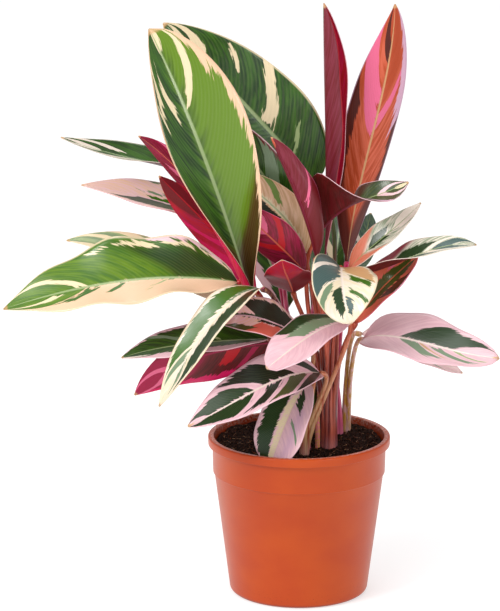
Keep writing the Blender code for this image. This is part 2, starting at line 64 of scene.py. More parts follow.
# Each leaf: its shoot, the midrib's four points from base to tip, which way the upper face looks
# (a list where it turns from base to tip), the width of each half, where it is widest, how blunt its
# tip is, the fold at the midrib and the further cupping (degrees, at the base and at the tip), how
# far along it has unrolled, and the waves of its margin. A pair of widths, bellies or tips is for the
# two halves; bend says how far the stalk runs in line with the blade.
leaves = {
    "leaf_front_tall": dict(
        shoot="shoot_left", rib=[(-42, -20, 276), (-61, -38, 344), (-93, -50, 438), (-136, -45, 539)],
        face=[(0.35, -0.9, 0.2), (0.3, -0.9, 0.2)], halves=(38, 50), belly=(0.54, 0.66), blunt=(0.85, 0.62),
        fold=(0, 12), cup=(172, 12), opens=0.8),
    "leaf_back_tall": dict(
        shoot="shoot_back", rib=[(15, 25, 384), (-23, 28, 427), (-72, 28, 480), (-125, 20, 534)],
        face=(0.1, -0.95, 0.3), halves=(46, 47), fold=(10, 8), cup=(14, 8)),
    "leaf_rolled_spear": dict(
        shoot="shoot_right", rib=[(23, 8, 314), (25, 14, 389), (24, 16, 473), (21, 8, 554)],
        face=(0.8, -0.5, 0.0), halves=28, belly=0.64, blunt=0.8, fold=(0, 0), cup=(160, 150)),
    "leaf_tall_right": dict(
        shoot="shoot_right", rib=[(44, 16, 312), (58, 26, 391), (77, 30, 472), (86, 15, 552)],
        face=(-0.2, 0.95, 0.1), halves=(25, 29), belly=0.5, blunt=(0.8, 1.0), fold=(25, 8), cup=(20, 10)),
    "leaf_left_high": dict(
        shoot="shoot_left_back", rib=[(-50, 58, 362), (-107, 60, 387), (-164, 55, 403), (-221, 40, 424)],
        face=[(0.0, -0.1, 1.0), (0.0, -0.5, 0.87)], halves=20, fold=(42, 15)),
    "leaf_left_pink": dict(
        shoot="shoot_left_back", rib=[(-48, 45, 332), (-95, 45, 351), (-148, 40, 368), (-202, 30, 381)],
        face=[(0.05, -0.4, 0.9), (0.05, -0.35, 0.93)], halves=26, fold=(20, 8)),
    "leaf_left_behind": dict(
        shoot="shoot_left", rib=[(-38, -11, 273), (-92, -4, 296), (-152, 5, 322), (-215, 5, 334)],
        face=(0.0, -0.45, 0.9), halves=26, fold=(20, 8)),
    "leaf_left_long": dict(
        shoot="shoot_left", rib=[(-58, -25, 302), (-126, -45, 310), (-195, -60, 305), (-269, -65, 286)],
        face=(0.0, -0.55, 0.83), halves=(41, 44), fold=(22, 6), cup=(12, 8), wave=(0.1, 3.2, 0.2)),
    "leaf_left_tip": dict(
        shoot="shoot_left_back", rib=[(-38, 18, 330), (-78, 16, 364), (-115, 14, 402), (-148, 10, 431)],
        face=(-0.4, 0.6, 0.6), halves=15, fold=(35, 20)),
    "leaf_left_crimson": dict(
        shoot="shoot_left", rib=[(-41, 13, 286), (-69, 6, 330), (-101, 0, 367), (-129, -6, 397)],
        face=(-0.5, 0.75, 0.4), halves=(16, 18), fold=(25, 15)),
    "leaf_hanging_left": dict(
        shoot="shoot_middle", rib=[(-35, -42, 299), (-65, -74, 292), (-98, -85, 253), (-128, -88, 201)],
        face=[(-0.3, -0.3, 0.9), (-0.55, -0.75, 0.35)], halves=21, fold=(12, 10), cup=(10, 8)),
    "leaf_low_left": dict(
        shoot="shoot_middle", rib=[(-30, -40, 252), (-75, -50, 252), (-120, -54, 248), (-163, -55, 238)],
        face=[(0.0, -0.4, 0.9), (0.0, -0.5, 0.87)], halves=23, fold=(20, 8)),
    "leaf_low_magenta": dict(
        shoot="shoot_middle", rib=[(-26, -30, 246), (-64, -22, 238), (-110, -12, 221), (-153, -8, 190)],
        face=(-0.1, 0.97, 0.2), halves=(23, 34), fold=(12, 10)),
    "leaf_mid_left": dict(
        shoot="shoot_middle", rib=[(1, -35, 255), (-26, -50, 270), (-53, -56, 278), (-80, -52, 270)],
        face=(0.0, -0.6, 0.8), halves=(26, 22), fold=(14, 8)),
    "leaf_front_oval": dict(
        shoot="shoot_front", rib=[(40, -35, 266), (18, -62, 266), (-6, -85, 256), (-31, -98, 239)],
        face=[(-0.25, -0.45, 0.85), (-0.25, -0.5, 0.8)], halves=(28, 25), belly=0.48, blunt=0.5,
        fold=(16, 4)),
    "leaf_front_low": dict(
        shoot="shoot_front", rib=[(18, -38, 219), (-18, -66, 221), (-58, -86, 206), (-102, -98, 185)],
        face=(-0.2, -0.6, 0.77), halves=29, belly=0.42, blunt=0.75, fold=(14, 6)),
    "leaf_front_drop": dict(
        shoot="shoot_front", rib=[(7, -36, 209), (-6, -50, 192), (-18, -60, 166), (-28, -64, 138)],
        face=[(-0.45, -0.8, 0.4), (-0.45, -0.85, 0.2)], halves=26, belly=0.55, blunt=0.5, fold=(14, 6)),
    "leaf_centre_face": dict(
        shoot="shoot_main", rib=[(37, -28, 316), (37, -60, 316), (39, -84, 300), (45, -92, 279)],
        face=[(0.35, -0.25, 0.9), (-0.05, -0.97, 0.25)], halves=32, belly=0.45, fold=(18, 8), cup=(10, 10)),
    "leaf_centre_crimson": dict(
        shoot="shoot_main", rib=[(-6, -12, 289), (-10, -32, 304), (-14, -52, 318), (-17, -70, 333)],
        face=(0.0, 0.6, 0.8), halves=22, belly=0.4, fold=(10, -5)),
    "leaf_rolled_centre": dict(
        shoot="shoot_main", rib=[(14, -32, 326), (4, -42, 368), (-11, -44, 406), (-27, -42, 440)],
        face=(0.7, 0.6, 0.2), halves=23, belly=0.45, fold=(0, 0), cup=(145, 110)),
    "leaf_mid_cream": dict(
        shoot="shoot_main", rib=[(4, -8, 325), (-12, -14, 357), (-36, -16, 381), (-61, -16, 409)],
        face=(-0.1, -0.85, 0.5), halves=22, fold=(18, 8)),
    "leaf_mid_pink": dict(
        shoot="shoot_main", rib=[(4, -20, 311), (-16, -34, 335), (-37, -38, 356), (-59, -36, 378)],
        face=(-0.4, 0.75, 0.5), halves=20, fold=(20, 10)),
    "leaf_arching": dict(
        shoot="shoot_main", rib=[(18, -14, 345), (41, -26, 370), (65, -34, 383), (98, -34, 397)],
        face=[(-0.2, 0.9, 0.4), (0.0, -0.7, 0.7)], halves=(24, 42), belly=0.36, fold=(50, 12)),
    "leaf_right_narrow": dict(
        shoot="shoot_main", rib=[(46, -20, 314), (66, -28, 336), (88, -28, 355), (110, -20, 375)],
        face=(-0.35, -0.6, 0.7), halves=15, fold=(20, 12)),
    "leaf_right_white": dict(
        shoot="shoot_main", rib=[(58, -24, 310), (86, -40, 322), (122, -44, 337), (160, -40, 340)],
        face=[(0.0, 0.1, 0.98), (0.0, -0.5, 0.87)], halves=19, fold=(30, 10)),
    "leaf_right_olive": dict(
        shoot="shoot_main", rib=[(52, -18, 262), (72, -28, 293), (91, -30, 313), (108, -24, 328)],
        face=(-0.55, -0.65, 0.5), halves=19, fold=(20, 10)),
    "leaf_right_pink": dict(
        shoot="shoot_slim", rib=[(59, -8, 244), (92, -28, 250), (134, -42, 243), (182, -50, 236)],
        face=(0.0, -0.45, 0.9), halves=(32, 33), belly=0.45, blunt=0.6, fold=(12, 5), bend=0.08),
    "leaf_right_under": dict(
        shoot="shoot_slim", rib=[(58, 4, 245), (89, 2, 235), (121, -4, 222), (151, -12, 212)],
        face=(0.0, -0.2, 1.0), halves=22, fold=(16, 8), bend=0.08),
    "leaf_right_blue": dict(
        shoot="shoot_right", rib=[(50, 36, 296), (57, 44, 314), (63, 50, 332), (67, 52, 350)],
        face=(-0.3, -0.9, 0.3), halves=16, fold=(16, 8)),
    "leaf_mid_green": dict(
        shoot="shoot_left_back", rib=[(8, 8, 335), (-18, 4, 373), (-46, 0, 415), (-73, -6, 456)],
        face=(-0.1, -0.9, 0.4), halves=(32, 25), fold=(18, 8)),
    "leaf_rear_right": dict(
        shoot="shoot_back", rib=[(28, 55, 255), (36, 95, 300), (42, 140, 325), (46, 185, 322)],
        face=[(0.0, -0.5, 0.8), (0.0, 0.3, 0.95)], halves=23, fold=(20, 8)),
    "leaf_rear_left": dict(
        shoot="shoot_left_back", rib=[(-12, 48, 258), (-32, 85, 305), (-57, 130, 330), (-78, 172, 325)],
        face=[(0.0, -0.5, 0.8), (0.0, 0.3, 0.95)], halves=28, fold=(20, 8)),
    "leaf_rear_middle": dict(
        shoot="shoot_back", rib=[(12, 50, 282), (4, 92, 330), (-6, 140, 345), (-14, 188, 335)],
        face=[(0.0, -0.5, 0.8), (0.0, 0.3, 0.95)], halves=25, fold=(20, 8)),
}


# A shader socket that can be used in plain arithmetic; each step adds its own Math node
class Value:
    def __init__(self, shader, socket):
        self.shader = shader
        self.socket = socket

    def maths(self, operation, *others):
        node = self.shader.add("ShaderNodeMath", dict(operation=operation), self, *others)
        return self.shader.value(node)

    def __add__(self, other):
        return self.maths("ADD", other)

    def __radd__(self, other):
        return self.maths("ADD", other)

    def __sub__(self, other):
        return self.maths("SUBTRACT", other)

    def __rsub__(self, other):
        return (self * -1) + other

    def __mul__(self, other):
        return self.maths("MULTIPLY", other)

    def __rmul__(self, other):
        return self.maths("MULTIPLY", other)

    def __pow__(self, other):
        return self.maths("POWER", other)

    def lesser(self, other):
        return self.maths("MINIMUM", other)

    def greater(self, other):
        return self.maths("MAXIMUM", other)

    def absolute(self):
        return self.maths("ABSOLUTE")

    def stepped(self, low, high):  # 0 below low, 1 above high, smooth between
        node = self.shader.add("ShaderNodeMapRange", dict(interpolation_type="SMOOTHSTEP"), self, low, high)
        return self.shader.value(node)


# A material and the nodes that go into it
class Shader:
    def __init__(self, name, **constants):
        self.material = bpy.data.materials.new(name)
        self.material.use_nodes = True
        self.tree = self.material.node_tree
        self.surface = self.tree.nodes["Principled BSDF"]
        for socket, value in constants.items():
            self.surface.inputs[socket.replace("_", " ")].default_value = value

    def add(self, kind, settings, *values, **named):
        node = self.tree.nodes.new(kind)
        for setting, value in settings.items():
            setattr(node, setting, value)
        for place, value in list(enumerate(values)) + list(named.items()):
            if isinstance(value, Value):
                self.tree.links.new(value.socket, node.inputs[place])
            else:
                node.inputs[place].default_value = value
        return node

    def value(self, node, output=0):
        return Value(self, node.outputs[output])

    def place(self):  # Object coordinates as three numbers, in millimetres
        where = self.value(self.add("ShaderNodeTexCoord", {}), "Object")
        scaled = self.value(self.add("ShaderNodeVectorMath", dict(operation="SCALE"), where, Scale=1 / mm))
        parts = self.add("ShaderNodeSeparateXYZ", {}, scaled)
        return [self.value(parts, i) for i in range(3)]

    def vector(self, x, y, z):
        return self.value(self.add("ShaderNodeCombineXYZ", {}, x, y, z))

    def noise(self, vector, scale, detail, roughness):
        node = self.add("ShaderNodeTexNoise", {}, vector, Scale=scale, Detail=detail, Roughness=roughness)
        return self.value(node, "Fac")

    def spread(self, place, often, detail, roughness):  # noise that changes this often along x, y and z
        at = self.vector(*(axis * times for axis, times in zip(place, often)))
        return self.noise(at, 1.0, detail, roughness)

    def mix(self, factor, first, second):
        node = self.tree.nodes.new("ShaderNodeMix")
        node.data_type = "RGBA"
        for place, value in ((0, factor), (6, first), (7, second)):
            if isinstance(value, Value):
                self.tree.links.new(value.socket, node.inputs[place])
            else:
                node.inputs[place].default_value = value if place == 0 else (*value, 1.0)
        return self.value(node, 2)

    def send(self, **sockets):
        for name, value in sockets.items():
            self.tree.links.new(value.socket, self.surface.inputs[name.replace("_", " ")])

    def bump(self, height, strength, distance):
        node = self.add("ShaderNodeBump", {}, Height=height, Strength=strength, Distance=distance)
        self.send(Normal=self.value(node))


exposure = 0.82  # how much of the studio's light a surface needs to look as bright as its colour
haze = 0.016  # what the shine adds to every channel, taken off again here
darkest = 0.002  # no surface is blacker than this


def screenColour(red, green, blue):  # a colour as seen on screen (0 to 255), made linear
    linear = (((c / 255 + 0.055) / 1.055) ** 2.4 if c > 10 else c / 255 / 12.92 for c in (red, green, blue))
    return tuple(max(darkest, exposure * c - haze) for c in linear)


screenTones = dict(
    deepGreen=(30, 60, 24), green=(66, 106, 30), olive=(106, 138, 20), darkOlive=(74, 80, 40),
    nightGreen=(28, 44, 34), blueGreen=(72, 94, 94), greyGreen=(120, 142, 112), pale=(158, 176, 122),
    cream=(240, 220, 182), ivory=(244, 228, 214), blush=(228, 180, 192), peach=(242, 200, 166),
    pink=(243, 200, 207), lilac=(216, 172, 196), rose=(234, 112, 148), coral=(222, 104, 90),
    hotPink=(224, 44, 104), crimson=(196, 14, 50), raspberry=(170, 44, 80), mauve=(132, 58, 74),
    burgundy=(108, 24, 46), wine=(78, 18, 36), salmon=(220, 110, 84), rust=(178, 72, 36),
    tan=(210, 164, 118), straw=(214, 164, 76), brown=(84, 44, 28),
    potOrange=(190, 76, 8), potBright=(198, 84, 12), potDust=(226, 190, 180), potSpeck=(92, 44, 26),
    potFootDark=(120, 50, 28), peat=(44, 28, 22), dryPeat=(92, 64, 50), bark=(140, 82, 56),
)
palette = {name: screenColour(*tone) for name, tone in screenTones.items()}


# A finished bmesh becomes an object in the scene
def placed(name, bm, *materials, smooth=True):
    mesh = bpy.data.meshes.new(name)
    bm.to_mesh(mesh)
    bm.free()
    if smooth:
        mesh.shade_smooth()
    for material in materials:
        mesh.materials.append(material)
    thing = bpy.data.objects.new(name, mesh)
    bpy.context.scene.collection.objects.link(thing)
    return thing


def joined(piece, slot, *nodes):  # part of the plant: what it rides on, its finish (not used), what it stands for
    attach(piece, "root")
    for node in nodes:
        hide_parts(node)


def alongRib(points, u):  # the smooth curve through the four points
    total = Vector()
    for i, point in enumerate(points):
        weight = 1.0
        for j in range(len(points)):
            if j != i:
                weight *= (u * (len(points) - 1) - j) / (i - j)
        total += weight * Vector(point)
    return total


def ribDirection(points, u):
    step = 0.01
    return (alongRib(points, u + step) - alongRib(points, u - step)).normalized()


# What a blade has where its own table doesn't say, and how its mesh is laid out
bladeMake = dict(rowLength=5.0, fewestRows=20, across=18, thickness=0.6, baseHalf=2.0, tipHalf=0.7,
                 belly=0.42, blunt=0.85, fold=(15, 8), cup=(8, 8), leastCup=1e-3, opens=1.0,
                 wave=(0.05, 2.5, 0.0), waveLag=0.35)


def oneSide(value, side):  # a value that both halves of a blade share, or one of a pair
    return value[side] if isinstance(value, tuple) else value


def halfWidth(leaf, u, side):
    belly = oneSide(leaf.get("belly", bladeMake["belly"]), side)
    tipPower = oneSide(leaf.get("blunt", bladeMake["blunt"]), side)
    basePower = tipPower * belly / (1 - belly)
    u = min(max(u, 0.0), 1.0)
    fullest = belly**basePower * (1 - belly) ** tipPower
    shape = u**basePower * (1 - u) ** tipPower / fullest
    least = bladeMake["baseHalf"] * (1 - u) + bladeMake["tipHalf"] * u
    return max(least, oneSide(leaf["halves"], side) * shape)


def eased(pair, u, opens):
    t = min(u / opens, 1.0)
    t = t * t * (3 - 2 * t)
    return pair[0] * (1 - t) + pair[1] * t


def bladePoint(leaf, u, v):  # the blade's middle at u along the midrib and v across, from -1 to 1
    rib = leaf["rib"]
    opens = leaf.get("opens", bladeMake["opens"])
    forward = ribDirection(rib, u)
    faceEnds = leaf["face"] if isinstance(leaf["face"], list) else [leaf["face"]] * 2
    face = Vector(faceEnds[0]).lerp(Vector(faceEnds[1]), u)
    face = (face - face.project(forward)).normalized()
    side = forward.cross(face)
    fold = math.radians(eased(leaf.get("fold", bladeMake["fold"]), u, opens))
    cup = math.radians(eased(leaf.get("cup", bladeMake["cup"]), u, opens))
    if abs(cup) < bladeMake["leastCup"]:
        cup = bladeMake["leastCup"]
    half = halfWidth(leaf, u, 1 if v > 0 else 0)
    t = abs(v)
    across = half * (math.sin(fold + cup * t) - math.sin(fold)) / cup
    rise = half * (math.cos(fold) - math.cos(fold + cup * t)) / cup
    waveSize, waveCount, waveShift = leaf.get("wave", bladeMake["wave"])
    wave = math.sin(math.tau * (waveCount * u + waveShift + (bladeMake["waveLag"] if v > 0 else 0.0)))
    rise += waveSize * half * wave * t * t
    return alongRib(rib, u) + side * math.copysign(across, v) + face * rise


def makeBlade(name, leaf, upper, under):
    length = (Vector(leaf["rib"][-1]) - Vector(leaf["rib"][0])).length
    rows = max(bladeMake["fewestRows"], round(length / bladeMake["rowLength"]))
    bm = bmesh.new()
    bm.loops.layers.uv.new("UVMap")
    bmesh.ops.create_grid(bm, x_segments=rows, y_segments=bladeMake["across"], size=0.5, calc_uvs=True)
    for vert in bm.verts:
        vert.co = bladePoint(leaf, vert.co.x + 0.5, vert.co.y * 2) * mm
    bmesh.ops.reverse_faces(bm, faces=bm.faces)
    blade = placed(name, bm, upper, under)
    wall = blade.modifiers.new("thickness", "SOLIDIFY")
    wall.thickness = bladeMake["thickness"] * mm
    wall.offset = 0.0
    wall.material_offset = 1
    return blade


# The look of a blade. Its pattern follows the side veins, which leave the midrib forwards and curve
# to the margin: vein is the same all along one of them, and sweep says how far they curve. Each
# patch or wash is (from vein, to vein, from v, to v, colour), with v from -1 to 1 across the blade;
# a patch has a ragged edge, and a wash fades out.
faces = dict(
    upper=dict(tones="upper", patches="patches", washes="washes", margin="margin", midrib="midrib",
               line="pale", rough=0.24, coat=0.4),
    under=dict(tones="under", patches="underPatches", washes="underWashes", margin="underMargin",
               midrib="underMidrib", line="rust", rough=0.4, coat=0.05),
)
plainLook = dict(upper=("deepGreen", "green"), under=("burgundy", "wine"), margin="pink", midrib="pale",
                 underMargin="burgundy", underMidrib="salmon", sweep=0.3, veins=44)
leafSurface = dict(
    coatRoughness=0.2, specular=0.3, paintedGlow=0.11,  # the blade glows faintly in its own colour: painted light, standing in for light coming through a thin blade
    veinCurve=1.3, halfApart=7, leafApart=3, streaks=(30, 1.8), fine=(120, 3.2), fineApart=20,
    tones=(0.36, 0.64), streakShare=0.8, fineShare=0.2, acrossScale=0.2,
    washFade=0.05, washRagged=0.12, washShare=0.9, streakJag=0.085, fineJag=0.035, patchEdge=(-0.003, 0.004),
    lineShare=0.16, margin=(0.95, 0.985), marginShare=0.8, midrib=(0.02, 0.055), midribShare=0.85,
    tip=(0.984, 0.994), tipJag=0.01, tipShare=0.75, fineRough=0.16,
    lineBump=0.1, streakBump=0.9, midribBump=1.2, bumpStrength=0.4, bumpHigh=0.0007,
)


def leafShader(name, look, faceName):
    face = faces[faceName]
    s = leafSurface
    shader = Shader(name, Coat_Weight=face["coat"], Coat_Roughness=s["coatRoughness"],
                    Specular_IOR_Level=s["specular"], Emission_Strength=s["paintedGlow"])
    uv = shader.value(shader.add("ShaderNodeUVMap", dict(uv_map="UVMap")))
    parts = shader.add("ShaderNodeSeparateXYZ", {}, uv)
    u = shader.value(parts, 0)
    v = shader.value(parts, 1) * 2 - 1
    out = v.absolute()
    vein = u - look["sweep"] * out ** s["veinCurve"]
    row = v.maths("SIGN") * s["halfApart"] + look["seed"] * s["leafApart"]
    streaks = shader.noise(shader.vector(vein * s["streaks"][0], out * s["streaks"][1], row), 1.0, 3.0, 0.6)
    fineRow = row + s["fineApart"]
    fine = shader.noise(shader.vector(vein * s["fine"][0], out * s["fine"][1], fineRow), 1.0, 2.0, 0.5)
    first, second = (palette[tone] for tone in look[face["tones"]])
    toneShare = streaks.stepped(*s["tones"]) * s["streakShare"] + fine * s["fineShare"]
    colour = shader.mix(toneShare, first, second)

    def within(low, high, near, far):  # above 0 inside the patch
        across = ((v - near) * s["acrossScale"]).lesser((far - v) * s["acrossScale"])
        return (vein - low).lesser(high - vein).lesser(across)

    for *edges, tone in look.get(face["washes"], ()):
        amount = (within(*edges) + (streaks - 0.5) * s["washRagged"]).stepped(-s["washFade"], s["washFade"])
        colour = shader.mix(amount * s["washShare"], colour, palette[tone])
    jag = (streaks - 0.5) * s["streakJag"] + (fine - 0.5) * s["fineJag"]
    for *edges, tone in look.get(face["patches"], ()):
        colour = shader.mix((within(*edges) + jag).stepped(*s["patchEdge"]), colour, palette[tone])
    lines = (vein * math.tau * look["veins"]).maths("SINE") * 0.5 + 0.5
    colour = shader.mix(lines * fine * s["lineShare"], colour, palette[face["line"]])
    colour = shader.mix(out.stepped(*s["margin"]) * s["marginShare"], colour, palette[look[face["margin"]]])
    rib = 1 - out.stepped(*s["midrib"])
    colour = shader.mix(rib * s["midribShare"], colour, palette[look[face["midrib"]]])
    tip = (u + fine * s["tipJag"]).stepped(*s["tip"])
    colour = shader.mix(tip * s["tipShare"], colour, palette["tan"])
    # the colour also glows at the blade's glow strength: painted light that brightens the blade in shade
    shader.send(Base_Color=colour, Emission_Color=colour, Roughness=fine * s["fineRough"] + face["rough"])
    height = lines * s["lineBump"] + streaks * s["streakBump"] - rib * s["midribBump"]
    shader.bump(height, s["bumpStrength"], s["bumpHigh"])
    return shader.material


